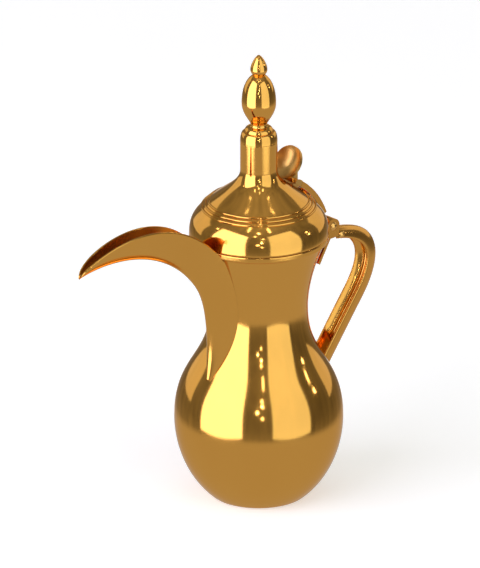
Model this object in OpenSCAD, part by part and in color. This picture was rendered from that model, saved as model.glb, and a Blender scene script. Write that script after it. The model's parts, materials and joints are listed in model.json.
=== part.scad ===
// Dallah: a brass coffee pot with a curved beak spout, a gutter-shaped handle and a hinged lid
// that carries a tall turned finial. Millimetres, +Z up, origin at the middle of the flat base.
// The spout points to -X, the handle and the hinge are on the +X side.

/* [Belly and neck] */
// Diameter of the flat base
base_d = 61; // [51:0.5:73]
// Widest diameter of the belly
belly_d = 108.8; // [90:0.2:131]
// Height of the widest line of the belly
belly_z = 53.6; // [44:0.2:65]
// How far the fullness of the belly carries upwards
belly_rise = 37; // [30:0.5:45]
// Diameter of the waist
waist_d = 63.2; // [52:0.2:76]
// Height of the waist
waist_z = 128; // [118:0.5:135]
// How far the waist carries downwards
waist_drop = 36.5; // [30:0.5:44]
// How far the waist carries upwards
waist_rise = 17.8; // [14:0.2:22]
// Length of the last bend of the flared neck
flare_len = 10.2; // [8:0.2:13]
// Steepness of the flare where it meets the upright lip
flare_angle = 65; // [55:1:75]
// Diameter of the upright lip at the mouth
lip_d = 86; // [82:0.2:90]
// Height where the upright lip begins
lip_z = 174; // [170:0.5:176]
// Height of the rim
rim_z = 178; // [177:0.5:182]
// Thickness of the sheet of the belly and neck
body_wall = 1.2; // [0.9:0.1:1.6]

/* [Rim band] */
// Outer diameter of the band round the mouth
band_d = 89.6; // [88:0.2:92]
// Rounding of the lower corner of the band
band_round = 1; // [0.5:0.1:1.4]

/* [Spout] */
// Height of the pointed foot of the spout on the belly
spout_foot_z = 86; // [78:0.5:94]
// Reach of the beak's tip from the pot's axis
spout_reach = 155.4; // [130:0.5:186]
// Height of the beak's tip
spout_tip_z = 188.8; // [176:0.2:200]
// Half width of the spout along the neck
spout_half_w = 12.4; // [10:0.1:14]
// Half width of the spout where it leaves the rim
spout_rim_half_w = 11.2; // [9:0.1:13]
// Thickness of the sheet of the spout
spout_wall = 1.3; // [1:0.1:1.6]
// Width of the slot in the neck that feeds the spout
pour_w = 12; // [8:0.5:14]
// Height of the lower end of that slot
pour_z = 142; // [136:0.5:148]
// Length of that slot
pour_len = 26; // [18:0.5:27]

/* [Handle] */
// Width of the gutter-shaped handle
handle_w = 12.4; // [10.5:0.1:14.8]
// Depth of the gutter in the grip
handle_deep = 11.5; // [9.5:0.1:13.6]
// Depth of the gutter at the hinge end
handle_shallow = 6.8; // [6.4:0.1:7.6]
// Thickness of the sheet of the handle
handle_wall = 1.3; // [1:0.1:1.6]
// Depth of the dished hollow along the inner face of the grip
handle_hollow = 4.6; // [3.6:0.1:5.6]
// Distance of the open side of the grip from the pot's axis, at its furthest
handle_reach = 90; // [84:0.5:108]
// Height of the furthest part of the grip
handle_reach_z = 139; // [134:0.5:143]
// Height of the foot of the handle on the belly
handle_foot_z = 78; // [72:0.5:82]
// Diameter of the pad inside the foot of the handle
pad_d = 7.6; // [6.4:0.1:8]
// Thickness of the pad
pad_t = 2; // [1.6:0.1:2.4]

/* [Hinge] */
// Distance of the hinge pin from the pot's axis
hinge_x = 58.3; // [57:0.1:62]
// Height of the hinge pin above the base
hinge_z = 169.3; // [168:0.1:171]
// Diameter of the hinge barrel
barrel_d = 10.4; // [8.7:0.1:10.6]
// Length of the hinge barrel over its outer knuckles
barrel_len = 16; // [14:0.2:19]
// Length of the lid's knuckle
knuckle_len = 6.6; // [5.5:0.1:7.8]
// Diameter of the hinge pin
pin_d = 3; // [2.5:0.1:3.6]
// Width of the plate that is fixed to the neck
plate_w = 36; // [30:0.5:40]
// Length of that plate
plate_len = 18; // [15:0.5:19]
// Thickness of that plate
plate_t = 2; // [1.6:0.1:2.4]
// Height of the lower end of that plate
plate_z = 152.5; // [150:0.5:154]
// Lean of that plate from upright
plate_lean = 31; // [29:0.5:33]

/* [Lid] */
// Thickness of the sheet of the lid
lid_wall = 1.2; // [0.9:0.1:1.5]
// Radius at the top of the lid's shoulder, where its hollow begins
lid_crest_r = 33; // [31:0.2:35]
// Height of that line above the rim
lid_crest_h = 21.9; // [20.5:0.1:24]
// Slope of the lid there
lid_slope = 41; // [38:0.5:44]
// Width of each raised ring on the lid
ring_w = 1.5; // [1.1:0.1:1.8]
// Distance between the raised rings
ring_pitch = 2.1; // [1.9:0.1:2.4]
// Radius of the lowest raised ring
ring_r = 36.4; // [36:0.1:37.5]
// Diameter of the ring under the lid that drops into the mouth
seat_d = 79; // [76:0.2:79.4]
// How far that ring reaches below the rim
seat_depth = 4; // [3:0.1:4.4]

/* [Finial] */
// Diameter of the tube on the lid
tower_d = 24; // [21:0.2:28.8]
// Height of the tube's lower end above the rim
tower_h = 44; // [42:0.5:48]
// Length of the tube
tower_len = 19.6; // [16:0.2:24]
// Height of the rounded cap on the tube
cap_len = 10; // [9:0.2:12]
// Height of the short collar above the cap
collar_len = 2.8; // [2.2:0.1:3.6]
// Largest diameter of the egg-shaped bead
egg_d = 22.2; // [18.4:0.2:26.6]
// Height of the bead
egg_len = 32; // [28:0.2:38.4]
// Largest diameter of the acorn-shaped tip
tip_d = 11; // [9.6:0.1:13.2]
// Height of the tip
tip_len = 13.6; // [12:0.1:16.2]
// Diameter of the threaded rod inside
rod_d = 4; // [3.4:0.1:4.4]

/* [Strap and thumb piece] */
// Width of the strap behind the lid
strap_w = 12.4; // [11:0.1:14]
// Depth of the strap
strap_deep = 3.6; // [3.2:0.1:4]
// Thickness of the sheet of the strap
strap_wall = 1.2; // [0.9:0.1:1.4]
// Radius of the strap's curve
strap_r = 57.2; // [56.6:0.1:58]
// Diameter of the cupped thumb piece
thumb_d = 22.4; // [19:0.2:26.8]
// Radius of the thumb piece's hollow
thumb_r = 16; // [14.5:0.2:20]
// Thickness of the thumb piece
thumb_t = 1.6; // [1.2:0.1:2]
// Diameter of the rivets' shanks
rivet_d = 2.4; // [2:0.1:2.8]

/* [Hidden] */
$fn = 96;
brass = [0.80, 0.58, 0.26];
warm_brass = [0.78, 0.53, 0.24];
pale_brass = [0.85, 0.66, 0.34];

touch = 0.03;      // gap between soldered pieces
hole_gap = 0.05;   // radial gap round pins, rivets and the rod
rest_gap = 0.3;    // gap between the lid and the rim
swing_gap = 0.3;   // gap beside and under the lid's knuckle
join_clear = 0.5;  // no point of an inner line lies closer than this to the end of its piece
steps = 20;        // points along each curved stretch of an outline

// ---- curves -------------------------------------------------------------------------------
function lerp(a, b, t) = a + (b - a) * t;
function bez(a, b, c, d, t) =
    a * pow(1 - t, 3) + 3 * b * pow(1 - t, 2) * t + 3 * c * (1 - t) * t * t + d * pow(t, 3);
function bez_slope(a, b, c, d, t) =
    3 * (b - a) * pow(1 - t, 2) + 6 * (c - b) * (1 - t) * t + 3 * (d - c) * t * t;
function curve(a, b, c, d, n = steps) = [for (i = [1:n]) bez(a, b, c, d, i / n)];
function toward(angle, len) = len * [cos(angle), sin(angle)];
function unit(v) = v / norm(v);
// An outline moved to its left-hand side by t, point by point
function inset(pts, t) = [
    for (i = [0:len(pts) - 1])
        let (along = unit(pts[min(i + 1, len(pts) - 1)] - pts[max(i - 1, 0)]))
        pts[i] + t * [-along[1], along[0]]
];
function reversed(v) = [for (i = [len(v) - 1:-1:0]) v[i]];
function by_height(pts) = [for (p = pts) [p[1], p[0]]];

// ---- outline of the pot -------------------------------------------------------------------
base_r = base_d / 2;
belly_r = belly_d / 2;
waist_r = waist_d / 2;
lip_r = lip_d / 2;
band_r = band_d / 2;
// The lower belly is part of an ellipse that the base cuts off
bowl_drop = belly_z / sqrt(1 - pow(base_r / belly_r, 2));
bowl_turn = asin(belly_z / bowl_drop);
bowl_line = [
    for (i = [0:steps])
        let (a = bowl_turn * (1 - i / steps))
        [belly_r * cos(a), belly_z - bowl_drop * sin(a)]
];
waist = [waist_r, waist_z];
lip = [lip_r, lip_z];
neck_line = concat(
    [[belly_r, belly_z]],
    curve([belly_r, belly_z], [belly_r, belly_z + belly_rise],
          waist - [0, waist_drop], waist, 2 * steps),
    curve(waist, waist + [0, waist_rise], lip - toward(flare_angle, flare_len), lip)
);
band_line = [
    for (a = [-90:22.5:0]) [band_r, lip_z + band_round] + band_round * [cos(a) - 1, sin(a)]
];
body_table = by_height(concat(bowl_line, [for (i = [1:len(neck_line) - 1]) neck_line[i]]));
function body_r(z) = lookup(z, body_table);
band_step = 0.8;
band_table = by_height(concat(
    [[body_r(lip_z - band_step), lip_z - band_step]],
    [for (p = band_line) p + [touch, 0]],
    [[band_r + touch, rim_z]]
));
function outside_r(z) = z < lip_z - band_step ? body_r(z) : lookup(z, band_table);

// ---- outline of the lid -------------------------------------------------------------------
lid_z = rim_z + rest_gap;
crest = [lid_crest_r, rim_z + lid_crest_h];
tower_r = tower_d / 2;
tower_z = rim_z + tower_h;
shoulder_len = 10.7;
shoulder_bend = 11.3;
hollow_bend = 14;
throat_len = 9;
lid_line = concat(
    [[band_r, lid_z]],
    curve([band_r, lid_z], [band_r, lid_z + shoulder_len],
          crest + toward(-lid_slope, shoulder_bend), crest),
    curve(crest, crest - toward(-lid_slope, hollow_bend),
          [tower_r, tower_z - throat_len], [tower_r, tower_z])
);
lid_by_radius = reversed(lid_line);
function lid_height(r) = lookup(r, lid_by_radius);

// ---- small repeated shapes ----------------------------------------------------------------
// A domed rivet along +Z: its head sits on z = 0 and its shank reaches down by grip
head_r = 2.4;
head_h = 1.1;
module rivet(grip, tail = true) {
    ball_r = (head_r * head_r + head_h * head_h) / (2 * head_h);
    intersection() {
        translate([0, 0, head_h - ball_r]) sphere(r = ball_r);
        cylinder(r = head_r, h = head_h + 1);
    }
    translate([0, 0, -grip]) cylinder(d = rivet_d, h = grip + 0.2);
    if (tail) translate([0, 0, -grip - tail_h]) cylinder(r = tail_r, h = tail_h);
}
tail_r = 1.9;
tail_h = 0.7;
module rivet_hole(len) {
    translate([0, 0, -len / 2]) cylinder(d = rivet_d + 2 * hole_gap, h = len);
}
// A piece drawn in the upright plane of the spout and handle, with its thickness along Y
module upright(w) {
    rotate([90, 0, 0]) linear_extrude(height = w, center = true) children();
}
// A bent strip: the section is drawn as [radius, width], and bent round the strap's centre
strap_c = [0.5, 159.4];
module bent(from, to) {
    translate([strap_c[0], 0, strap_c[1]]) rotate([90, 0, 0]) rotate([0, 0, from])
        rotate_extrude(angle = to - from) children();
}
// Places a child on the strap's outer face, at an angle round its centre, pointing outwards
module on_strap(angle) {
    translate([strap_c[0], 0, strap_c[1]]) rotate([0, 90 - angle, 0])
        translate([0, 0, strap_r]) children();
}
// A closed skin over rings of points. Each ring runs down the outside and back up the inside.
module skin(rings) {
    n = len(rings[0]);
    m = n / 2;
    last = (len(rings) - 1) * n;
    sides = [
        for (i = [0:len(rings) - 2], j = [0:n - 1])
            let (a = i * n + j, b = i * n + (j + 1) % n)
            each [[a, a + n, b], [b, a + n, b + n]]
    ];
    ends = [
        for (j = [0:m - 2])
            let (k = n - 1 - j)
            each [[j, j + 1, k], [j + 1, k - 1, k],
                  [last + j, last + k, last + j + 1], [last + j + 1, last + k, last + k - 1]]
    ];
    polyhedron(points = [for (r = rings) each r], faces = concat(sides, ends));
}

// ---- pot ----------------------------------------------------------------------------------
module belly_bowl() {
    inner = inset(bowl_line, body_wall);
    color(brass) rotate_extrude() polygon(concat(
        [[0, 0]], bowl_line,
        [[belly_r - body_wall, belly_z]],
        reversed([for (p = inner) if (p[1] > body_wall && p[1] < belly_z - join_clear) p]),
        [[lookup(body_wall, by_height(inner)), body_wall], [0, body_wall]]
    ));
}

module neck_shell() {
    inner = inset(neck_line, body_wall);
    color(brass) difference() {
        rotate_extrude() polygon(concat(
            [[belly_r, belly_z + touch]],
            [for (i = [1:len(neck_line) - 1]) neck_line[i]],
            [[lip_r, rim_z], [lip_r - body_wall, rim_z]],
            reversed([for (p = inner) if (p[1] > belly_z + join_clear && p[1] < lip_z) p]),
            [[belly_r - body_wall, belly_z + touch]]
        ));
        pour_slot();
        plate_holes();
        foot_hole();
    }
}

module pour_slot() {
    for (z = [pour_z + pour_w / 2, pour_z + pour_len - pour_w / 2])
        translate([-lip_r - 1, 0, z]) rotate([0, 90, 0]) cylinder(d = pour_w, h = lip_r - 10);
    translate([-lip_r - 1, -pour_w / 2, pour_z + pour_w / 2])
        cube([lip_r - 10, pour_w, pour_len - pour_w]);
}

module rim_band() {
    bevel = 0.4;
    color(brass) rotate_extrude() polygon(concat(
        [[lip_r + touch, lip_z]],
        band_line,
        [[band_r, rim_z - bevel], [band_r - bevel, rim_z], [lip_r + touch, rim_z]]
    ));
}

// ---- spout --------------------------------------------------------------------------------
// The keel runs up beside the neck and over into the beak. The lips follow the pot as far as
// the rim, and then the beak's upper edge.
root_z = rim_z - 2;
keel_joint = [-band_r, root_z] - [13.9, 15.8];
keel_turn = 131;
keel_rise = [5.8, 46.6];
keel_before = 17.8;
keel_after = 60.4;
keel_into_tip = [8.2, 0.8];
lip_turn = 129.2;
lip_after = 67.4;
lip_into_tip = [0.9, 9.6];
beak_swell = [5.6, 7.4];
tip_half_w = 0.7;
keel_start = [-body_r(spout_foot_z), spout_foot_z];
keel_end = [-spout_reach, spout_tip_z] - [0, 0.9];
lip_end = [-spout_reach, spout_tip_z] + [0.3, 0.5];
root_x = -sqrt(pow(band_r, 2) - pow(spout_rim_half_w, 2)) - touch;
lip_start = [root_x, root_z];
function keel_neck(t) = bez(
    keel_start, keel_start + keel_rise, keel_joint - toward(keel_turn, keel_before), keel_joint, t);
function keel_beak(t) = bez(
    keel_joint, keel_joint + toward(keel_turn, keel_after), keel_end - keel_into_tip, keel_end, t);
function lip_beak(t) = bez(
    lip_start, lip_start + toward(lip_turn, lip_after), lip_end + lip_into_tip, lip_end, t);
rise_len = 54;
function seam_half_w(z) =
    pow(sin(90 * min(1, (z - spout_foot_z) / rise_len)), 0.75)
    * lerp(spout_half_w, spout_rim_half_w, pow(max(0, (z - pour_z) / (root_z - pour_z)), 2));
function beak_half_w(t) = bez(spout_rim_half_w, beak_swell[0], beak_swell[1], tip_half_w, t);
function seam_x(z, y) = -sqrt(pow(outside_r(z) + touch, 2) - y * y) - touch / 2;

// One ring: the lips at outer and inner, half width w, and the keel
section_n = 10;
keel_round = 1.7;
function trough_ring(lip_o, lip_i, keel, w) =
    let (
        down = keel - lip_o,
        deep = norm(down),
        wall = min(spout_wall, 0.45 * w, 0.45 * deep),
        floor_i = keel - unit(down) * wall * 1.25 - lip_i
    )
    concat(
        [for (j = [0:2 * section_n])
            let (u = 90 * j / section_n, p = lip_o + down * pow(sin(u), keel_round))
            [p[0], -w * cos(u), p[1]]],
        [for (j = [2 * section_n:-1:0])
            let (u = 90 * j / section_n, p = lip_i + floor_i * pow(sin(u), keel_round))
            [p[0], -(w - wall) * cos(u), p[1]]]
    );
function seam_ring(z) =
    let (
        w = seam_half_w(z),
        keel = keel_neck((z - spout_foot_z) / (root_z - spout_foot_z)),
        wall = min(spout_wall, 0.45 * w)
    )
    trough_ring([seam_x(z, w), z], [seam_x(z, w - wall), z], keel, w);
seam_n = 26;
foot_start = 2.4;
seam_heights = concat(
    [for (i = [0:seam_n]) lerp(spout_foot_z + foot_start, lip_z - band_step, i / seam_n)],
    [for (p = band_line) p[1]],
    [root_z]
);
beak_n = 30;

module spout_trough() {
    color(brass) skin(concat(
        [for (z = seam_heights) seam_ring(z)],
        [for (i = [1:beak_n])
            let (t = i / beak_n)
            trough_ring(lip_beak(t), lip_beak(t), keel_beak(t), beak_half_w(t))]
    ));
}

// ---- handle -------------------------------------------------------------------------------
// The path is the middle of the gutter's open side, from the hinge end down to the belly.
arm_out = 4.8;
arm_drop = 10.3;
arm_lead = [15, -2.4];
bend_over = [0, 11.4];
bend_under = [0, 11];
grip_in = 16;
grip_share = 0.516;
grip_run = 52.5;
grip_bend = 10;
foot_run = 36;
foot_third = foot_run / 3;
arm_start = [hinge_x + arm_out, hinge_z - arm_drop];
grip_top = [handle_reach, handle_reach_z];
grip_mid = [handle_reach - grip_in, lerp(handle_foot_z, handle_reach_z, grip_share)];
foot_end = grip_mid - toward(grip_run, foot_run);
path_a = [arm_start, arm_start + arm_lead, grip_top + bend_over, grip_top];
path_b = [grip_top, grip_top - bend_under, grip_mid + toward(grip_run, grip_bend), grip_mid];
path_c = [grip_mid, grip_mid - toward(grip_run, foot_third),
          foot_end + toward(grip_run, foot_third), foot_end];
function on_path(p, t) = bez(p[0], p[1], p[2], p[3], t);
function path_dir(p, t) = unit(bez_slope(p[0], p[1], p[2], p[3], t));
// One ring of the handle. Its hollow follows the outside at dish 0, and is a shallow dish at 1.
ring_n = 16;
function hollow_at(u, deep, dish) =
    lerp((deep - handle_wall) * sin(u), handle_hollow * pow(sin(u), 2), dish);
function gutter_ring(path, t, deep, dish) =
    let (
        at = on_path(path, t),
        dir = path_dir(path, t),
        up = [-dir[1], dir[0]],
        w = handle_w / 2
    )
    concat(
        [for (j = [0:ring_n]) let (u = 180 * j / ring_n, p = at + up * deep * sin(u))
            [p[0], -w * cos(u), p[1]]],
        [for (j = [ring_n:-1:0])
            let (u = 180 * j / ring_n, p = at + up * hollow_at(u, deep, dish))
            [p[0], -(w - handle_wall) * cos(u), p[1]]]
    );
// 0 before from, 1 after to, and an even turn between them
function eased(t, from, to) = pow(sin(90 * max(0, min(1, (t - from) / (to - from)))), 2);
// Moves a point along dir until it meets the belly
function foot_r(z) = body_r(z) + 2 * touch * norm([1, (body_r(z + 1) - body_r(z - 1)) / 2]);
function landed(p, dir, lo, hi, n) =
    let (mid = (lo + hi) / 2, q = p + mid * dir, out = norm([q[0], q[1]]) > foot_r(q[2]))
    n == 0 ? q : out ? landed(p, dir, mid, hi, n - 1) : landed(p, dir, lo, mid, n - 1);
function handle_depth(t) = lerp(handle_shallow, handle_deep, eased(t, 0, 1));
// The dish begins beyond the tongue and ends short of the pad
dish_from = 0.3;
dish_full = 0.75;
dish_ends = 0.5;
dish_gone = 0.7;
foot_reach = 60;
foot_tries = 24;
grip_dir = path_dir(path_c, 0.5);
function on_belly(p) = landed(p, [grip_dir[0], 0, grip_dir[1]], 0, foot_reach, foot_tries);

module handle_gutter() {
    n = 14;
    straight_n = 8;
    rings = concat(
        [for (i = [0:n]) let (t = i / n)
            gutter_ring(path_a, t, handle_depth(t), eased(t, dish_from, dish_full))],
        [for (i = [1:n]) gutter_ring(path_b, i / n, handle_deep, 1)],
        [for (i = [1:straight_n]) let (t = dish_gone * i / straight_n)
            gutter_ring(path_c, t, handle_deep, 1 - eased(t, dish_ends, dish_gone))]
    );
    foot = [for (p = rings[len(rings) - 1]) on_belly(p)];
    color(warm_brass) difference() {
        skin(concat(rings, [foot]));
        cross_hole();
    }
}

// The pad is a round patch that lies on the belly, and the foot of the handle closes over it
pad_share = 0.33;
pad_over = foot_end + pad_share * handle_deep * [-grip_dir[1], grip_dir[0]] + toward(grip_run, foot_third);
pad_z = on_belly([pad_over[0], 0, pad_over[1]])[2];
pad_slope = atan2(body_r(pad_z - 2) - body_r(pad_z + 2), 4);
module at_pad() {
    translate([body_r(pad_z), 0, pad_z]) rotate([0, 90 - pad_slope, 0]) children();
}
module foot_hole() {
    at_pad() rivet_hole(12);
}
module foot_pad() {
    near = [for (p = body_table) if (abs(p[0] - pad_z) < 2 * pad_d) [p[1], p[0]]];
    color(warm_brass) difference() {
        intersection() {
            rotate_extrude() polygon(concat(
                inset(near, -touch), reversed(inset(near, -pad_t - touch))));
            at_pad() translate([0, 0, -8]) cylinder(d = pad_d, h = 16);
        }
        foot_hole();
    }
}
module foot_rivet() {
    color(pale_brass) at_pad()
        translate([0, 0, pad_t + 0.1]) rivet(pad_t + body_wall + 0.25);
}

// ---- hinge --------------------------------------------------------------------------------
// The plate lies in a plane that leans outwards, square to the neck at its lower end
plate_foot = [body_r(plate_z) + touch, plate_z];
module on_plate(up, side) {
    translate([plate_foot[0], side, plate_foot[1]]) rotate([0, plate_lean + 90, 0])
        translate([-up, 0, 0]) children();
}
plate_rivet_up = 2.6;
plate_rivet_side = 4;
module plate_holes() {
    for (s = [-1, 1]) on_plate(plate_rivet_up, s * plate_rivet_side) rivet_hole(14);
}
module neck_plate() {
    color(warm_brass) difference() {
        on_plate(0, 0) translate([-plate_len, -plate_w / 2, 0]) cube([plate_len, plate_w, plate_t]);
        plate_holes();
    }
}
plate_rivet_grip = plate_t + body_wall + 1.7;
module plate_rivets() {
    color(pale_brass) for (s = [-1, 1]) on_plate(plate_rivet_up, s * plate_rivet_side)
        translate([0, 0, plate_t + touch]) rivet(plate_rivet_grip);
}

hinge_y = barrel_len / 2;
knuckle_y = knuckle_len / 2;
barrel_r = barrel_d / 2;
shelf_top = hinge_z - barrel_r - swing_gap;
shelf_t = 2.3;
tongue_w = 0.53 * (handle_w - 2 * handle_wall);
tongue_t = 4.2;
tongue_len = 8.6;
tongue_fall = 1.2;
tongue_top = shelf_top - 0.5;
plate_far = plate_foot + toward(-plate_lean, plate_t + touch);
function plate_x(z) = plate_far[0] + (z - plate_far[1]) * tan(plate_lean);
cross_at = [hinge_x + 9.1, tongue_top - tongue_t / 2 - 0.5];
module cross_hole() {
    translate([cross_at[0], 0, cross_at[1]]) rotate([90, 0, 0])
        translate([0, 0, -handle_w]) cylinder(d = rivet_d + 2 * hole_gap, h = 2 * handle_w);
}
module at_hinge() {
    translate([hinge_x, 0, hinge_z]) rotate([90, 0, 0]) children();
}
module pin_hole() {
    at_hinge() translate([0, 0, -barrel_len])
        cylinder(d = pin_d + 2 * hole_gap, h = 2 * barrel_len);
}
module hinge_bracket() {
    shelf_end = arm_start[0] - 0.3;
    web_top = shelf_top + 2.2;
    color(warm_brass) difference() {
        union() {
            upright(barrel_len) polygon([
                [plate_x(shelf_top - shelf_t), shelf_top - shelf_t],
                [shelf_end, shelf_top - shelf_t],
                [shelf_end, shelf_top],
                [hinge_x - barrel_r - 1.2, shelf_top],
                [hinge_x - barrel_r - 3, web_top],
                [plate_x(web_top), web_top]
            ]);
            upright(tongue_w) polygon([
                [shelf_end - 1, tongue_top],
                [shelf_end, tongue_top],
                [shelf_end + tongue_len, tongue_top - tongue_fall],
                [shelf_end + tongue_len, tongue_top - tongue_fall - tongue_t],
                [shelf_end, tongue_top - tongue_t],
                [shelf_end - 1, tongue_top - tongue_t]
            ]);
            for (s = [-1, 1])
                translate([0, s * (hinge_y + knuckle_y + swing_gap) / 2, 0]) {
                    knuckle(hinge_y - knuckle_y - swing_gap);
                    upright(hinge_y - knuckle_y - swing_gap) polygon([
                        [hinge_x - barrel_r + 0.3, shelf_top - 0.5],
                        [hinge_x + barrel_r - 0.3, shelf_top - 0.5],
                        [hinge_x + barrel_r - 0.3, hinge_z],
                        [hinge_x - barrel_r + 0.3, hinge_z]
                    ]);
                }
        }
        pin_hole();
        cross_hole();
    }
}
module knuckle(len) {
    at_hinge() cylinder(r = barrel_r, h = len, center = true);
}

module handle_rivet() {
    half = handle_w / 2;
    color(pale_brass) translate([cross_at[0], 0, cross_at[1]]) rotate([90, 0, 0]) {
        cylinder(d = rivet_d, h = 2 * half, center = true);
        for (s = [0, 180]) rotate([s, 0, 0]) translate([0, 0, half + touch]) rivet(1, tail = false);
    }
}

pin_head_r = 2.9;
pin_head_h = 1.4;
module hinge_pin() {
    ball_r = (pin_head_r * pin_head_r + pin_head_h * pin_head_h) / (2 * pin_head_h);
    color(pale_brass) at_hinge() {
        cylinder(d = pin_d, h = barrel_len + 0.6, center = true);
        for (s = [0, 180]) rotate([s, 0, 0]) translate([0, 0, hinge_y + 0.1]) intersection() {
            translate([0, 0, pin_head_h - ball_r]) sphere(r = ball_r);
            cylinder(r = pin_head_r, h = pin_head_h + 1);
        }
    }
}

// ---- lid ----------------------------------------------------------------------------------
module lid_dome() {
    inner = inset(lid_line, lid_wall);
    color(brass) union() {
        rotate_extrude() polygon(concat(
            lid_line,
            [[tower_r - lid_wall, tower_z]],
            reversed([
                for (p = inner) if (p[1] > lid_z + join_clear && p[1] < tower_z - join_clear) p]),
            [[band_r - lid_wall, lid_z]]
        ));
        for (i = [0:2])
            let (r = ring_r - i * ring_pitch)
            rotate_extrude() translate([r, lid_height(r)]) circle(d = ring_w, $fn = 24);
    }
}
module lid_solid() {
    rotate_extrude() polygon(concat(inset(lid_line, -touch), [[0, tower_z], [0, lid_z]]));
}

seat_r = seat_d / 2;
module lid_seat_ring() {
    web_r = band_r - lid_wall - 2 * touch;
    color(brass) rotate_extrude() polygon([
        [seat_r - lid_wall, rim_z - seat_depth],
        [seat_r, rim_z - seat_depth],
        [seat_r, lid_z + 0.2],
        [web_r, lid_z + 0.2],
        [web_r, lid_z + 1.2],
        [seat_r - lid_wall, lid_z + 1.2]
    ]);
}

strap_from = 21.2;
strap_to = 55.4;
strap_rivet_low = 31;
strap_rivet_high = 51;
strip_from = strap_from - 1;
strip_t = 1.5;
strip_w = strap_w - 2 * strap_wall - 0.2;
strip_r = strap_r - strap_wall - touch;
module strip_section() {
    translate([strip_r - strip_t, -strip_w / 2]) square([strip_t, strip_w]);
}
module strap_holes() {
    for (a = [strap_rivet_low, strap_rivet_high]) on_strap(a) rivet_hole(9);
}
module lid_strap() {
    w = strap_w / 2;
    color(warm_brass) difference() {
        bent(strap_from, strap_to) polygon([
            [strap_r, -w], [strap_r, w],
            [strap_r - strap_deep, w], [strap_r - strap_deep, w - strap_wall],
            [strap_r - strap_wall, w - strap_wall], [strap_r - strap_wall, strap_wall - w],
            [strap_r - strap_deep, strap_wall - w], [strap_r - strap_deep, -w]
        ]);
        strap_holes();
    }
}
module strap_rivets() {
    color(pale_brass) for (a = [strap_rivet_low, strap_rivet_high])
        on_strap(a) translate([0, 0, touch]) rivet(strap_wall + strip_t + 0.2);
}

// The arm runs from the lid's knuckle, up inside the strap, and is soldered to the lid's shoulder
lug_w = 6;
module lid_hinge_arm() {
    low_out = strap_c + toward(strip_from + 0.5, strip_r);
    low_in = strap_c + toward(strip_from + 0.5, strip_r - strip_t);
    color(warm_brass) difference() {
        union() {
            knuckle(knuckle_len);
            upright(knuckle_len) polygon([
                low_out, low_in,
                [hinge_x - barrel_r + 0.8, hinge_z + 1.6], [hinge_x - 0.2, hinge_z + barrel_r - 0.2]
            ]);
            bent(strip_from, strap_rivet_low + 5) strip_section();
            difference() {
                upright(lug_w) polygon([
                    [band_r - 4, lid_z + 2.6],
                    low_in + [0.5, 1.5],
                    strap_c + toward(strap_from + 4, strip_r - strip_t / 2),
                    [band_r - 4, lid_z + 6.6]
                ]);
                lid_solid();
            }
        }
        pin_hole();
        strap_holes();
    }
}

thumb_lean = 33;
thumb_at = [24.4, 220.6];
thumb_hollow = thumb_r - sqrt(pow(thumb_r, 2) - pow(thumb_d / 2, 2));
// The middle of the cup's rim, with +Z pointing out of the cup
module at_thumb() {
    translate([thumb_at[0], 0, thumb_at[1]]) rotate([0, thumb_lean - 90, 0]) children();
}
thumb_c = thumb_at + (thumb_r - thumb_hollow) * [-cos(thumb_lean), sin(thumb_lean)];
root_to = strap_to + 6;
foot_len = 8;
foot_w = 9.2;
stem_w = 8;
stem_r = thumb_r + thumb_t / 2;
module thumb_piece() {
    color(warm_brass) difference() {
        union() {
            at_thumb() intersection() {
                translate([0, 0, thumb_r - thumb_hollow]) sphere(r = thumb_r + thumb_t);
                translate([0, 0, -thumb_r]) cylinder(d = thumb_d, h = thumb_r);
            }
            upright(stem_w) polygon([
                strap_c + toward(root_to - 3, strap_r), thumb_c + toward(10 - thumb_lean, stem_r),
                thumb_c + toward(-24 - thumb_lean, stem_r),
                strap_c + toward(root_to - 0.5, strap_r - strap_deep)
            ]);
            bent(strap_to + 0.1, root_to)
                translate([strap_r - strap_deep, -strap_w / 2]) square([strap_deep, strap_w]);
            bent(strap_rivet_high - 4, strap_to + 1) strip_section();
            bent(strap_to + 0.1, root_to) translate([strap_r - strap_deep - foot_len, -foot_w / 2])
                square([foot_len + 0.5, foot_w]);
        }
        at_thumb() translate([0, 0, thumb_r - thumb_hollow]) sphere(r = thumb_r);
        lid_solid();
        strap_holes();
    }
}

// ---- finial -------------------------------------------------------------------------------
spigot_len = 6;
spigot_gap = 0.05;
bore_r = rod_d / 2 + hole_gap;
cap_z = tower_z + tower_len;
collar_z = cap_z + cap_len;
egg_z = collar_z + collar_len;
tip_z = egg_z + egg_len;
top_z = tip_z + tip_len;
tower_wall = lid_wall;
neck_r = 5.8;
egg_top_r = 4;
egg_wide_at = 0.41;
egg_out = 2.7;
egg_in = 5.2;
tip_wide_at = 0.27;
tip_out = [0.6, 1.2];
tip_under = [0, 1.6];
tip_over = [1.6, 0];
module tower_tube() {
    spigot_r = tower_r - lid_wall - spigot_gap;
    color(brass) rotate_extrude() polygon([
        [spigot_r, tower_z - spigot_len], [spigot_r, tower_z + touch],
        [tower_r, tower_z + touch], [tower_r, cap_z],
        [tower_r - tower_wall, cap_z], [tower_r - tower_wall, tower_z + 1],
        [spigot_r - tower_wall, tower_z - 1], [spigot_r - tower_wall, tower_z - spigot_len]
    ]);
}
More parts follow.
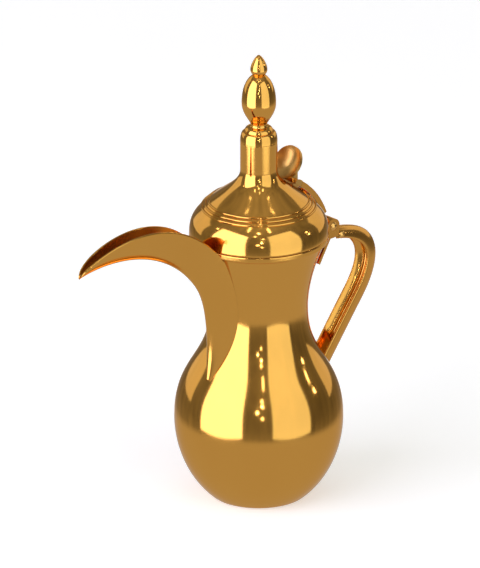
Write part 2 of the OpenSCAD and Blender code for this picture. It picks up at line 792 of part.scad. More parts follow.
module tower_cap() {
    shoulder_r = 0.81 * tower_r;
    shoulder_h = 0.66 * cap_len;
    button_r = 0.77 * tower_r;
    inner_r = tower_r - tower_wall - spigot_gap;
    color(brass) rotate_extrude() polygon(concat(
        [[bore_r, cap_z + 1.5], [inner_r - 1.2, cap_z + 1.5], [inner_r - 1.2, cap_z - 3],
         [inner_r, cap_z - 3], [inner_r, cap_z + touch]],
        [for (a = [0:9:90])
            [shoulder_r + (tower_r - shoulder_r) * cos(a), cap_z + touch + shoulder_h * sin(a)]],
        [for (a = [0:15:90])
            [neck_r + (button_r - neck_r) * cos(a),
             cap_z + shoulder_h + 0.1 + (cap_len - shoulder_h - 0.1) * sin(a)]],
        [[bore_r, collar_z]]
    ));
}
module finial_collar() {
    pinch = 0.35;
    color(pale_brass) rotate_extrude() polygon(concat(
        [[bore_r, collar_z + touch]],
        [for (a = [0:18:180]) [neck_r - pinch * sin(a), lerp(collar_z + touch, egg_z, a / 180)]],
        [[bore_r, egg_z]]
    ));
}
module finial_egg() {
    low = [neck_r, egg_z + touch];
    wide = [egg_d / 2, egg_z + egg_wide_at * egg_len];
    high = [egg_top_r, tip_z];
    color(brass) rotate_extrude() polygon(concat(
        [[bore_r, egg_z + touch], low],
        curve(low, low + [egg_out, 0.13 * egg_len], wide - [0, 0.16 * egg_len], wide),
        curve(wide, wide + [0, 0.24 * egg_len], high + [egg_in, -0.113 * egg_len], high),
        [[bore_r, tip_z]]
    ));
}
module finial_tip() {
    low = [egg_top_r, tip_z + touch];
    wide = [tip_d / 2, tip_z + tip_wide_at * tip_len];
    top = [0, top_z];
    hole_top = tip_z + 0.55 * tip_len;
    color(brass) rotate_extrude() polygon(concat(
        [[bore_r, tip_z + touch], low],
        curve(low, low + tip_out, wide - tip_under, wide, 8),
        curve(wide, wide + [0, 0.3 * tip_len], top + tip_over, top, 14),
        [[0, hole_top], [bore_r, hole_top]]
    ));
}
washer_z = tower_z - spigot_len;
washer_t = 1.4;
nut_h = 3.2;
module finial_rod() {
    low = washer_z - washer_t - nut_h - 2.4;
    color(pale_brass) translate([0, 0, low]) cylinder(d = rod_d, h = tip_z + 0.5 * tip_len - low);
}
module rod_washer() {
    color(pale_brass) translate([0, 0, washer_z - touch - washer_t]) difference() {
        cylinder(r = tower_r - lid_wall - 0.1, h = washer_t);
        translate([0, 0, -1]) cylinder(r = bore_r, h = washer_t + 2);
    }
}
module rod_nut() {
    color(pale_brass) translate([0, 0, washer_z - washer_t - 2 * touch - nut_h]) difference() {
        cylinder(d = 8.1, h = nut_h, $fn = 6);
        translate([0, 0, -1]) cylinder(r = bore_r, h = nut_h + 2);
    }
}

belly_bowl();
neck_shell();
rim_band();
spout_trough();
handle_gutter();
foot_pad();
foot_rivet();
neck_plate();
plate_rivets();
hinge_bracket();
handle_rivet();
hinge_pin();
lid_dome();
lid_seat_ring();
lid_hinge_arm();
lid_strap();
strap_rivets();
thumb_piece();
tower_tube();
tower_cap();
finial_collar();
finial_egg();
finial_tip();
finial_rod();
rod_washer();
rod_nut();
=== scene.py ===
# %% [markdown]
# # A brass dallah, piece by piece
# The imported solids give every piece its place: they are loaded first, as a fixed frame in metres,
# and nothing below moves or resizes them. A mirror-polished pot shows every facet of a mesh, so
# the turned and hammered shells are made again here as smooth, dense meshes in the same places,
# and the small forged parts are softened copies of their solids.

# %% Load the frame and keep its box
import bpy
import bmesh
import json
import math
from mathutils import Matrix, Vector


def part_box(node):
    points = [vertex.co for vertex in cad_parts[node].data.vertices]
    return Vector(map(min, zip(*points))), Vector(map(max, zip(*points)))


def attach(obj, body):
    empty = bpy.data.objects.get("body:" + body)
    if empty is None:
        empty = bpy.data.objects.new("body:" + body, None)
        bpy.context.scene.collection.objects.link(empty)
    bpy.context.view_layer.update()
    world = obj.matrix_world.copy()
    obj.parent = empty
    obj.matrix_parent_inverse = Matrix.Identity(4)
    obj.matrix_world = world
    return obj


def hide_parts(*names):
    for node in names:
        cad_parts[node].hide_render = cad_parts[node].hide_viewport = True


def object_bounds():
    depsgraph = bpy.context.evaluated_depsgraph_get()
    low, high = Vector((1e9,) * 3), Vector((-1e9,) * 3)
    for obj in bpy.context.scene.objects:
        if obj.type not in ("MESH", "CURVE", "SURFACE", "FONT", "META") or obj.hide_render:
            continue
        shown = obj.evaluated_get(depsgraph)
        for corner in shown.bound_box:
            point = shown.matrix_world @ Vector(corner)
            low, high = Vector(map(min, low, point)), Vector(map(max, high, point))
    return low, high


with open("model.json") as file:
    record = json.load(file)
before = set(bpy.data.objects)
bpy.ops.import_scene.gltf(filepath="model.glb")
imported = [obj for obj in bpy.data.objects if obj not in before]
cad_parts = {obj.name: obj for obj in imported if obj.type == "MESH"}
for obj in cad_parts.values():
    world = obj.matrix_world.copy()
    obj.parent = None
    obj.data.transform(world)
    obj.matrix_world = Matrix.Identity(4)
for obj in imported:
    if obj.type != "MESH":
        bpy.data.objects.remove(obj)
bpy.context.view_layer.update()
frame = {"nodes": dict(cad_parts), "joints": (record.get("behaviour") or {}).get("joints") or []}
MM = 0.001
nodes = frame["nodes"]

# %% [markdown]
# ## Camera
# A long lens far away keeps the pot's upright lines upright, as a catalogue picture does. The
# camera stands 43 degrees round towards the spout side and looks down by 21.5 degrees.

# %% Set up the camera
CAMERA_TURN = math.radians(-43)
CAMERA_RISE = math.radians(21.5)
CAMERA_AWAY = 12.0
SENSOR_WIDE = 36
VIEW_WIDE = 308.832 * MM
LOOK_ACROSS = -12.03 * MM
LOOK_UP = 133.05 * MM

sideways = Vector((math.cos(CAMERA_TURN), math.sin(CAMERA_TURN), 0))
away = Vector((math.sin(CAMERA_TURN) * math.cos(CAMERA_RISE),
               -math.cos(CAMERA_TURN) * math.cos(CAMERA_RISE), math.sin(CAMERA_RISE)))
upwards = away.cross(sideways)
camera = bpy.data.objects.new("camera", bpy.data.cameras.new("camera"))
bpy.context.scene.collection.objects.link(camera)
camera.data.sensor_fit = "HORIZONTAL"
camera.data.sensor_width = SENSOR_WIDE
camera.data.lens = CAMERA_AWAY * SENSOR_WIDE / VIEW_WIDE
camera.data.clip_start = 1.0
camera.data.clip_end = 60
camera.matrix_world = Matrix.Translation(
    sideways * LOOK_ACROSS + upwards * LOOK_UP + away * CAMERA_AWAY
) @ Matrix((sideways, upwards, away)).transposed().to_4x4()
bpy.context.scene.camera = camera
bpy.context.scene.view_settings.view_transform = "Standard"
print("lens", round(camera.data.lens), "mm")

# %% [markdown]
# ## Light
# Polished brass has hardly any colour of its own: it shows the room, tinted gold. Two tall soft
# boxes stand left and right of the camera with a dark gap between them, and narrow lamps in the
# gap give the small white points down the middle of the belly. Their light reaches below the
# table's level, so the floor is left out of reflections. All of them are out of the camera's
# sight. The room itself is dim, and only the camera sees it white.

# %% Lamps placed round the camera's own direction
ROOM_AWAY = 2.6


def lamp(name, turn, rise, width, height, glow, colour=(1, 1, 1), upright=True):
    """An area lamp seen from the pot at turn degrees from the camera and rise degrees up."""
    data = bpy.data.lights.new(name, "AREA")
    data.shape = "RECTANGLE"
    data.size, data.size_y = width, height
    data.energy = glow * math.pi * width * height
    data.color = colour
    piece = bpy.data.objects.new(name, data)
    bpy.context.scene.collection.objects.link(piece)
    a = CAMERA_TURN + math.radians(turn)
    flat = Vector((math.sin(a), -math.cos(a), 0))
    place = flat * ROOM_AWAY + Vector((0, 0, math.tan(math.radians(rise)) * ROOM_AWAY + 0.09))
    facing = flat if upright else place.normalized()
    piece.matrix_world = Matrix.Translation(place) @ facing.to_track_quat("Z", "Y").to_matrix().to_4x4()
    piece.visible_camera = False
    return piece


def wide(degrees):
    """Width of a lamp that spans this many degrees, seen from the pot."""
    return 2 * ROOM_AWAY * math.tan(math.radians(degrees / 2))


BOX_RISE, BOX_TALL = 23.9, 4.12
lamp("soft_box_left", -53, BOX_RISE, wide(62), BOX_TALL, 2.75, (0.96, 0.98, 1.28))
lamp("soft_box_right", 46, BOX_RISE, wide(55), BOX_TALL, 1.08, (0.93, 1.06, 1.16))
lamp("card_back_left", -128, 18, wide(40), 1.9, 0.62)
lamp("card_back_right", 138, 18, wide(44), 1.9, 0.62)
lamp("card_behind", 180, -2, wide(24), 2.0, 0.5)
for turn, rise, glow in ((-2, 15, 20), (5, 7, 9), (5, 23, 24), (5, 29, 14), (8, 40, 10),
                         (93, 16, 14), (92, 24, 10), (-91, 40, 8)):
    lamp("point_lamp", turn, rise, 0.11, 0.16, glow, upright=False)
for turn, rise, glow, long_ in ((0, 60, 16, 0.3), (-30, 66, 7, 1.0), (30, 64, 7, 0.9),
                                (8, 74, 5, 0.8), (-8, 50, 6, 0.25), (-80, 74, 4, 0.7),
                                (84, 72, 4, 0.7), (178, 66, 3, 0.8)):
    lamp("roof_lamp", turn, rise, 0.2, long_, glow, upright=False)

# %% The room seen in the brass
GROUND_END, WALL_START = 0.318, 0.35
world = bpy.data.worlds.new("dim_room")
bpy.context.scene.world = world
world.use_nodes = True
wn, wl = world.node_tree.nodes, world.node_tree.links
wn.clear()
w_out = wn.new("ShaderNodeOutputWorld")
w_pick = wn.new("ShaderNodeMixShader")
w_path = wn.new("ShaderNodeLightPath")
w_white = wn.new("ShaderNodeBackground")
w_white.inputs["Color"].default_value = (1, 1, 1, 1)
w_room = wn.new("ShaderNodeBackground")
w_where = wn.new("ShaderNodeTexCoord")
w_split = wn.new("ShaderNodeSeparateXYZ")
w_span = wn.new("ShaderNodeMapRange")
w_span.inputs["From Min"].default_value = -1
w_ramp = wn.new("ShaderNodeValToRGB")
w_ramp.color_ramp.elements[0].position = GROUND_END
w_ramp.color_ramp.elements[0].color = (0.53, 0.53, 0.53, 1)
w_ramp.color_ramp.elements[1].position = WALL_START
w_ramp.color_ramp.elements[1].color = (0.27, 0.27, 0.26, 1)
for where, level in ((0.42, 0.2), (0.5, 0.19), (0.64, 0.21), (0.85, 0.24), (1.0, 0.4)):
    stop = w_ramp.color_ramp.elements.new(where)
    stop.color = (level, level, level * 0.96, 1)
wl.new(w_where.outputs["Generated"], w_split.inputs[0])
wl.new(w_split.outputs["Z"], w_span.inputs["Value"])
wl.new(w_span.outputs["Result"], w_ramp.inputs["Fac"])
wl.new(w_ramp.outputs["Color"], w_room.inputs["Color"])
w_side = wn.new("ShaderNodeVectorMath")
w_side.operation = "DOT_PRODUCT"
w_side.inputs[1].default_value = sideways
w_shade = wn.new("ShaderNodeMapRange")
w_shade.inputs["From Min"].default_value = 0.55
w_shade.inputs["From Max"].default_value = 0.95
w_shade.inputs["To Min"].default_value = 1.0
w_shade.inputs["To Max"].default_value = 0.72
w_low = wn.new("ShaderNodeMapRange")
w_low.inputs["From Min"].default_value = GROUND_END
w_low.inputs["From Max"].default_value = WALL_START
w_level = wn.new("ShaderNodeMix")
wl.new(w_where.outputs["Generated"], w_side.inputs[0])
wl.new(w_side.outputs["Value"], w_shade.inputs["Value"])
wl.new(w_span.outputs["Result"], w_low.inputs["Value"])
wl.new(w_low.outputs["Result"], w_level.inputs["Factor"])
w_level.inputs["A"].default_value = 1.0
w_tall = wn.new("ShaderNodeMapping")
w_tall.inputs["Scale"].default_value = (5, 5, 0.8)
w_streaks = wn.new("ShaderNodeTexNoise")
w_streaks.inputs["Scale"].default_value = 1.6
w_streaks.inputs["Detail"].default_value = 3
w_uneven = wn.new("ShaderNodeMapRange")
w_uneven.inputs["From Min"].default_value = 0.3
w_uneven.inputs["From Max"].default_value = 0.7
w_uneven.inputs["To Min"].default_value = 0.78
w_uneven.inputs["To Max"].default_value = 1.24
w_both = wn.new("ShaderNodeMath")
w_both.operation = "MULTIPLY"
wl.new(w_where.outputs["Generated"], w_tall.inputs["Vector"])
wl.new(w_tall.outputs["Vector"], w_streaks.inputs["Vector"])
wl.new(w_streaks.outputs[0], w_uneven.inputs["Value"])
wl.new(w_shade.outputs["Result"], w_both.inputs[0])
wl.new(w_uneven.outputs["Result"], w_both.inputs[1])
wl.new(w_both.outputs[0], w_level.inputs["B"])
wl.new(w_level.outputs["Result"], w_room.inputs["Strength"])
wl.new(w_path.outputs["Is Camera Ray"], w_pick.inputs["Fac"])
wl.new(w_room.outputs[0], w_pick.inputs[1])
wl.new(w_white.outputs[0], w_pick.inputs[2])
wl.new(w_pick.outputs[0], w_out.inputs["Surface"])

# %% [markdown]
# ## The finish
# The whole pot is one alloy, buffed to a mirror. Up close it still varies: the colour drifts a
# little where the sheet was heated, the shine is softer where the buffing wheel could not reach,
# and thousands of fine buffing lines break the highlights. That drift is one node group with
# named inputs, and each material places it with its own values.

# %% Node group: buffed brass
buffed = bpy.data.node_groups.new("buffed_brass", "ShaderNodeTree")
for name, kind, start in (("Base", "NodeSocketColor", (0.9, 0.46, 0.1, 1)),
                          ("Dark", "NodeSocketColor", (0.75, 0.33, 0.06, 1)),
                          ("Drift", "NodeSocketFloat", 0.35),
                          ("Shine", "NodeSocketFloat", 0.08),
                          ("Haze", "NodeSocketFloat", 0.05),
                          ("Line Scale", "NodeSocketFloat", 260.0)):
    socket = buffed.interface.new_socket(name=name, in_out="INPUT", socket_type=kind)
    socket.default_value = start
for name, kind in (("Color", "NodeSocketColor"), ("Roughness", "NodeSocketFloat"),
                   ("Height", "NodeSocketFloat")):
    buffed.interface.new_socket(name=name, in_out="OUTPUT", socket_type=kind)
gn, gl = buffed.nodes, buffed.links
g_in, g_out = gn.new("NodeGroupInput"), gn.new("NodeGroupOutput")
g_where = gn.new("ShaderNodeTexCoord")
g_cloud = gn.new("ShaderNodeTexNoise")
g_cloud.inputs["Scale"].default_value = 22
g_cloud.inputs["Detail"].default_value = 4
g_lines = gn.new("ShaderNodeMapping")
g_lines.inputs["Scale"].default_value = (1, 1, 7)
g_fine = gn.new("ShaderNodeTexNoise")
g_fine.inputs["Detail"].default_value = 3
g_spots = gn.new("ShaderNodeTexNoise")
g_spots.inputs["Scale"].default_value = 140
g_spots.inputs["Detail"].default_value = 2
gl.new(g_where.outputs["Object"], g_cloud.inputs["Vector"])
gl.new(g_where.outputs["Object"], g_spots.inputs["Vector"])
gl.new(g_where.outputs["Object"], g_lines.inputs["Vector"])
gl.new(g_lines.outputs["Vector"], g_fine.inputs["Vector"])
gl.new(g_in.outputs["Line Scale"], g_fine.inputs["Scale"])


def maths(tree, operation, a, b=None):
    """One maths node in a tree, fed by sockets or plain numbers."""
    node_ = tree.nodes.new("ShaderNodeMath")
    node_.operation = operation
    for slot_, value in zip(node_.inputs, (a, b)):
        if value is None:
            continue
        if isinstance(value, (int, float)):
            slot_.default_value = value
        else:
            tree.links.new(value, slot_)
    return node_.outputs[0]


colour_drift = maths(buffed, "MULTIPLY", g_cloud.outputs[0], g_in.outputs["Drift"])
g_mix = gn.new("ShaderNodeMix")
g_mix.data_type = "RGBA"
gl.new(colour_drift, g_mix.inputs["Factor"])
gl.new(g_in.outputs["Base"], g_mix.inputs["A"])
gl.new(g_in.outputs["Dark"], g_mix.inputs["B"])
gl.new(g_mix.outputs["Result"], g_out.inputs["Color"])
both = maths(buffed, "ADD", g_cloud.outputs[0], g_spots.outputs[0])
uneven_haze = maths(buffed, "MULTIPLY", maths(buffed, "MULTIPLY", both, 0.5), g_in.outputs["Haze"])
gl.new(maths(buffed, "ADD", g_in.outputs["Shine"], uneven_haze), g_out.inputs["Roughness"])
gl.new(g_fine.outputs[0], g_out.inputs["Height"])
print("group", buffed.name, "with", len(buffed.nodes), "nodes")

# %% Materials made from the group


def brass(name, base, dark, drift=0.35, shine=0.08, haze=0.05, lines=260.0, bump=0.02):
    """A polished brass material: group for what varies, plain Principled for the metal."""
    mat = bpy.data.materials.new(name)
    mat.use_nodes = True
    mn, ml = mat.node_tree.nodes, mat.node_tree.links
    shader = mn["Principled BSDF"]
    shader.inputs["Metallic"].default_value = 1.0
    shader.inputs["Specular Tint"].default_value = (0.96, 0.84, 0.68, 1)
    group = mn.new("ShaderNodeGroup")
    group.node_tree = buffed
    group.inputs["Base"].default_value = (*base, 1)
    group.inputs["Dark"].default_value = (*dark, 1)
    group.inputs["Drift"].default_value = drift
    group.inputs["Shine"].default_value = shine
    group.inputs["Haze"].default_value = haze
    group.inputs["Line Scale"].default_value = lines
    relief = mn.new("ShaderNodeBump")
    relief.inputs["Strength"].default_value = bump
    relief.inputs["Distance"].default_value = 0.0004
    ml.new(group.outputs["Color"], shader.inputs["Base Color"])
    ml.new(group.outputs["Roughness"], shader.inputs["Roughness"])
    ml.new(group.outputs["Height"], relief.inputs["Height"])
    ml.new(relief.outputs["Normal"], shader.inputs["Normal"])
    return mat


GOLD = (0.84, 0.425, 0.086)
GOLD_DARK = (0.74, 0.32, 0.05)
mirror_brass = brass("mirror_brass", GOLD, GOLD_DARK)
spout_brass = brass("spout_brass", GOLD, GOLD_DARK, shine=0.10)
finial_brass = brass("finial_brass", GOLD, GOLD_DARK, shine=0.07, lines=420.0)
fitting_brass = brass("fitting_brass", (0.86, 0.42, 0.085), (0.66, 0.28, 0.045),
                      drift=0.5, shine=0.13, haze=0.07)
spout_inside = brass("spout_inside", (0.66, 0.33, 0.085), (0.46, 0.2, 0.045),
                     drift=0.6, shine=0.16, haze=0.12)
thumb_brass = brass("thumb_brass", (0.74, 0.42, 0.12), (0.56, 0.28, 0.07),
                    drift=0.5, shine=0.27, haze=0.08)
rivet_brass = brass("rivet_brass", (0.90, 0.50, 0.14), (0.70, 0.32, 0.06),
                    drift=0.4, shine=0.15, haze=0.08, lines=600.0, bump=0.05)
inner_brass = brass("inner_brass", (0.78, 0.38, 0.08), (0.50, 0.22, 0.04),
                    drift=0.8, shine=0.28, haze=0.14, lines=300.0, bump=0.08)

# %% [markdown]
# ## Turned pieces
# The bowl, neck, lid, tube and finial are round, so each one is an outline swept round the axis,
# just as a metal spinner or a lathe makes it. A Geometry Nodes tree does the sweep: it takes an
# outline, lays a grid with one row for each outline point, and bends the grid round the axis, so
# every corner of the outline stays exactly where it was drawn.

# %% Geometry Nodes: sweep an outline round the axis
turning = bpy.data.node_groups.new("turn_outline", "GeometryNodeTree")
turning.interface.new_socket(name="Geometry", in_out="INPUT", socket_type="NodeSocketGeometry")
turning.interface.new_socket(name="Outline", in_out="INPUT", socket_type="NodeSocketObject")
sides_in = turning.interface.new_socket(name="Sides", in_out="INPUT", socket_type="NodeSocketInt")
sides_in.default_value = 192
turning.interface.new_socket(name="Finish", in_out="INPUT", socket_type="NodeSocketMaterial")
turning.interface.new_socket(name="Geometry", in_out="OUTPUT", socket_type="NodeSocketGeometry")
tn, tl = turning.nodes, turning.links

t_in, t_out = tn.new("NodeGroupInput"), tn.new("NodeGroupOutput")
t_outline = tn.new("GeometryNodeObjectInfo")
t_size = tn.new("GeometryNodeAttributeDomainSize")
t_grid = tn.new("GeometryNodeMeshGrid")
t_pos = tn.new("GeometryNodeInputPosition")
t_split = tn.new("ShaderNodeSeparateXYZ")
t_row = tn.new("GeometryNodeSampleIndex")
t_row.data_type = "FLOAT_VECTOR"
t_pick = tn.new("GeometryNodeInputPosition")
t_turn = tn.new("ShaderNodeVectorRotate")
t_turn.rotation_type = "Z_AXIS"
t_set = tn.new("GeometryNodeSetPosition")
t_weld = tn.new("GeometryNodeMergeByDistance")
t_weld.inputs["Distance"].default_value = 2e-6
t_smooth = tn.new("GeometryNodeSetShadeSmooth")
t_real = tn.new("GeometryNodeRealizeInstances")
t_mat = tn.new("GeometryNodeSetMaterial")
tl.new(t_in.outputs["Outline"], t_outline.inputs["Object"])
tl.new(t_outline.outputs["Geometry"], t_size.inputs["Geometry"])
tl.new(t_size.outputs["Point Count"], t_grid.inputs["Vertices Y"])
tl.new(maths(turning, "ADD", t_in.outputs["Sides"], 1), t_grid.inputs["Vertices X"])
tl.new(t_pos.outputs[0], t_split.inputs[0])
rows_less = maths(turning, "SUBTRACT", t_size.outputs["Point Count"], 1)
v_share = maths(turning, "ADD", t_split.outputs["Y"], 0.5)
row = maths(turning, "ROUND", maths(turning, "MULTIPLY", v_share, rows_less))
tl.new(t_outline.outputs["Geometry"], t_row.inputs["Geometry"])
tl.new(t_pick.outputs[0], t_row.inputs["Value"])
tl.new(row, t_row.inputs["Index"])
u_share = maths(turning, "ADD", t_split.outputs["X"], 0.5)
tl.new(t_row.outputs["Value"], t_turn.inputs["Vector"])
tl.new(maths(turning, "MULTIPLY", u_share, 2 * math.pi), t_turn.inputs["Angle"])
tl.new(t_grid.outputs["Mesh"], t_set.inputs["Geometry"])
tl.new(t_turn.outputs["Vector"], t_set.inputs["Position"])
tl.new(t_set.outputs[0], t_weld.inputs["Geometry"])
tl.new(t_weld.outputs[0], t_smooth.inputs[0])
tl.new(t_smooth.outputs[0], t_real.inputs[0])
tl.new(t_real.outputs[0], t_mat.inputs["Geometry"])
tl.new(t_in.outputs["Finish"], t_mat.inputs["Material"])
tl.new(t_mat.outputs[0], t_out.inputs["Geometry"])

# %% Helpers: run a tree, bake it, and set its edges


def socket_id(tree, name):
    """The identifier of a tree's input, which is what a modifier's setting is stored under."""
    return next(i.identifier for i in tree.interface.items_tree
                if i.item_type == "SOCKET" and i.in_out == "INPUT" and i.name == name)


def run_tree(name, tree, **inputs):
    """A new piece made by a tree, baked to a plain mesh."""
    holder = bpy.data.objects.new(name, bpy.data.meshes.new(name))
    bpy.context.scene.collection.objects.link(holder)
    modifier = holder.modifiers.new("tree", "NODES")
    modifier.node_group = tree
    for key, value in inputs.items():
        modifier[socket_id(tree, key.replace("_", " "))] = value
    deps = bpy.context.evaluated_depsgraph_get()
    baked = bpy.data.meshes.new_from_object(holder.evaluated_get(deps))
    holder.modifiers.remove(modifier)
    holder.data = baked
    baked.name = name
    return holder


def finish_mesh(piece, mat=None, crisp=32, recalc=True):
    """Normals outwards, smooth shading, and sharp only where the surface really turns."""
    mesh = bmesh.new()
    mesh.from_mesh(piece.data)
    bmesh.ops.remove_doubles(mesh, verts=mesh.verts, dist=1e-6)
    bmesh.ops.dissolve_degenerate(mesh, edges=mesh.edges, dist=1e-7)
    if recalc:
        bmesh.ops.recalc_face_normals(mesh, faces=mesh.faces)
    mesh.to_mesh(piece.data)
    mesh.free()
    piece.data.polygons.foreach_set("use_smooth", [True] * len(piece.data.polygons))
    piece.data.set_sharp_from_angle(angle=math.radians(crisp))
    if mat is not None:
        piece.data.materials.clear()
        piece.data.materials.append(mat)
    return piece


def held(outline):
    """Adds a point close to each end of a long straight run that meets a small rounded edge."""
    def long_at(i):
        return math.dist(outline[i], outline[i + 1])
    points = [outline[0]]
    for i in range(len(outline) - 1):
        here = long_at(i)
        for j, near_start in ((i - 1, True), (i + 1, False)):
            if 0 <= j < len(outline) - 1 and here > 4 * max(long_at(j), 0.05):
                share = min(0.25, 0.3 / here)
                share = share if near_start else 1 - share
                points.append(plus(outline[i], (outline[i + 1][0] - outline[i][0],
                                                outline[i + 1][1] - outline[i][1]), share))
        points.append(outline[i + 1])
    return points


def turned(name, outline, mat, sides=192, crisp=32):
    """Sweeps an outline of (radius, height) points in millimetres round the axis."""
    outline = held(outline)
    data = bpy.data.meshes.new(name + "_outline")
    data.from_pydata([(r * MM, 0, z * MM) for r, z in outline],
                     [(i, i + 1) for i in range(len(outline) - 1)], [])
    guide = bpy.data.objects.new(name + "_outline", data)
    bpy.context.scene.collection.objects.link(guide)
    piece = run_tree(name, turning, Outline=guide, Sides=sides, Finish=mat)
    bpy.data.objects.remove(guide)
    finish_mesh(piece, mat, crisp)
    print(name, len(outline), "outline points,", len(piece.data.polygons), "faces")
    return piece


def placed(piece, body, slot, *cad_nodes):
    """The piece moves with its body and stands for these solids."""
    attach(piece, body)
    if cad_nodes:
        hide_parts(*cad_nodes)
    return piece

# %% Helpers for outlines


def bez(a, b, c, d, t):
    s = 1 - t
    return tuple(p * s ** 3 + 3 * q * s * s * t + 3 * u * s * t * t + v * t ** 3
                 for p, q, u, v in zip(a, b, c, d))


def curve(a, b, c, d, n):
    """n points of a smooth curve, without its first point."""
    return [bez(a, b, c, d, i / n) for i in range(1, n + 1)]


def toward(angle, length):
    return (length * math.cos(math.radians(angle)), length * math.sin(math.radians(angle)))


def plus(a, b, k=1.0):
    return (a[0] + k * b[0], a[1] + k * b[1])


def inset(points, t):
    """The same line moved to its left-hand side by t."""
    moved = []
    for i, p in enumerate(points):
        a, b = points[max(i - 1, 0)], points[min(i + 1, len(points) - 1)]
        dx, dz = b[0] - a[0], b[1] - a[1]
        size = math.hypot(dx, dz)
        moved.append((p[0] - t * dz / size, p[1] + t * dx / size))
    return moved


def eased(before, corner, after, radius, n=4):
    """Replaces a corner by a small rounded edge."""
    def unit(p, q):
        size = math.hypot(q[0] - p[0], q[1] - p[1])
        return ((q[0] - p[0]) / size, (q[1] - p[1]) / size)
    a, b = plus(corner, unit(corner, before), radius), plus(corner, unit(corner, after), radius)
    return [bez(a, plus(a, (corner[0] - a[0], corner[1] - a[1]), 0.55),
                plus(b, (corner[0] - b[0], corner[1] - b[1]), 0.55), b, i / n) for i in range(n + 1)]

# %% [markdown]
# ## The pot's body
# The belly is raised from two sheets, brazed at the widest line and hammered flush, so no seam
# shows after polishing. Here the bowl and the neck are one skin with a real wall: the outline
# runs up the outside, over the lip and back down the inside. The slot that feeds the spout is
# cut afterwards, as a silversmith pierces it.

# %% The body's outline
belly_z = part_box("belly_bowl")[1].z / MM
BELLY_R, BASE_R, WAIST = 54.4, 30.5, (31.6, 128.0)
LIP, RIM_Z, WALL = (43.0, 174.0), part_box("rim_band")[1].z / MM, 1.2
bowl_drop = belly_z / math.sqrt(1 - (BASE_R / BELLY_R) ** 2)
bowl_turn = math.asin(belly_z / bowl_drop)
BOWL_STEPS = 40
bowl_line = []
for i in range(BOWL_STEPS + 1):
    below = bowl_turn * (1 - i / BOWL_STEPS)
    bowl_line.append((BELLY_R * math.cos(below), belly_z - bowl_drop * math.sin(below)))
neck_line = [(BELLY_R, belly_z)]
neck_line += curve((BELLY_R, belly_z), (BELLY_R, belly_z + 37), (WAIST[0], WAIST[1] - 36.5), WAIST, 64)
neck_line += curve(WAIST, (WAIST[0], WAIST[1] + 17.8), plus(LIP, toward(65, 10.2), -1), LIP, 36)
body_table = sorted((z, r) for r, z in bowl_line + neck_line[1:])


def body_r(z):
    """Radius of the outside of the body at a height."""
    if z <= body_table[0][0]:
        return body_table[0][1]
    for (z0, r0), (z1, r1) in zip(body_table, body_table[1:]):
        if z <= z1:
            return r0 + (r1 - r0) * (z - z0) / max(z1 - z0, 1e-9)
    return body_table[-1][1]


outside = bowl_line + neck_line[1:]
inside = [p for p in inset(outside, WALL) if WALL + 0.6 < p[1] < LIP[1] - 0.3]
outline = [(0, 0)] + eased((0, 0), outside[0], outside[2], 1.2) + outside[2:]
outline += eased(LIP, (LIP[0], RIM_Z), (LIP[0] - WALL, RIM_Z), 0.35)
outline += eased((LIP[0], RIM_Z), (LIP[0] - WALL, RIM_Z), (LIP[0] - WALL, LIP[1]), 0.35)
outline += list(reversed(inside)) + [(0, WALL)]
pot_body = turned("pot_body", outline, mirror_brass)

# %% Pierce the slot behind the spout
SLOT_W, SLOT_LOW, SLOT_LONG = 12.0, 142.0, 26.0
CUT_FROM, CUT_TO, END_STEPS = -48, -24, 24
ends = []
for z, start in ((SLOT_LOW + SLOT_LONG - SLOT_W / 2, 0), (SLOT_LOW + SLOT_W / 2, 180)):
    ends += [plus((0, z), toward(start + 180 * i / END_STEPS, SLOT_W / 2))
             for i in range(END_STEPS + 1)]
cutter_mesh = bmesh.new()
rings = [[cutter_mesh.verts.new((x * MM, y * MM, z * MM)) for y, z in ends]
         for x in (CUT_FROM, CUT_TO)]
for i in range(len(ends)):
    j = (i + 1) % len(ends)
    cutter_mesh.faces.new((rings[0][i], rings[0][j], rings[1][j], rings[1][i]))
cutter_mesh.faces.new(rings[0])
cutter_mesh.faces.new(list(reversed(rings[1])))
bmesh.ops.recalc_face_normals(cutter_mesh, faces=cutter_mesh.faces)
cutter_data = bpy.data.meshes.new("slot_cutter")
cutter_mesh.to_mesh(cutter_data)
cutter_mesh.free()
cutter = bpy.data.objects.new("slot_cutter", cutter_data)
bpy.context.scene.collection.objects.link(cutter)
cut = pot_body.modifiers.new("cut", "BOOLEAN")
cut.operation, cut.object, cut.solver = "DIFFERENCE", cutter, "EXACT"
deps = bpy.context.evaluated_depsgraph_get()
pierced = bpy.data.meshes.new_from_object(pot_body.evaluated_get(deps))
pot_body.modifiers.remove(cut)
pot_body.data = pierced
bpy.data.objects.remove(cutter)
finish_mesh(pot_body, mirror_brass, recalc=False)
placed(pot_body, "pot", "brass_body", "belly_bowl", "neck_shell")

# %% The bead round the mouth
BAND_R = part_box("rim_band")[1].x / MM
bore_r = LIP[0] + 0.03
band = [(bore_r, RIM_Z)] + eased((LIP[0], RIM_Z), (BAND_R, RIM_Z), (BAND_R, LIP[1]), 0.55)
band += eased((BAND_R, RIM_Z), (BAND_R, LIP[1]), (LIP[0], LIP[1]), 1.1, 6) + [(bore_r, LIP[1])]
rim = turned("rim_bead", list(reversed(band)) + [(bore_r, LIP[1])], mirror_brass)
placed(rim, "pot", "brass_body", "rim_band")

# %% [markdown]
# ## Swept sheets: spout and handle
# Both are gutters of bent sheet. The section changes along the way, so each is a row of rings:
# a ring runs down the outside of the sheet, round the rounded lip and back up the inside. The
# spout's lips follow the neck's own surface up to the rim and then rise into the beak.

# %% Helper: skin over rings
LIP_STEPS = 6


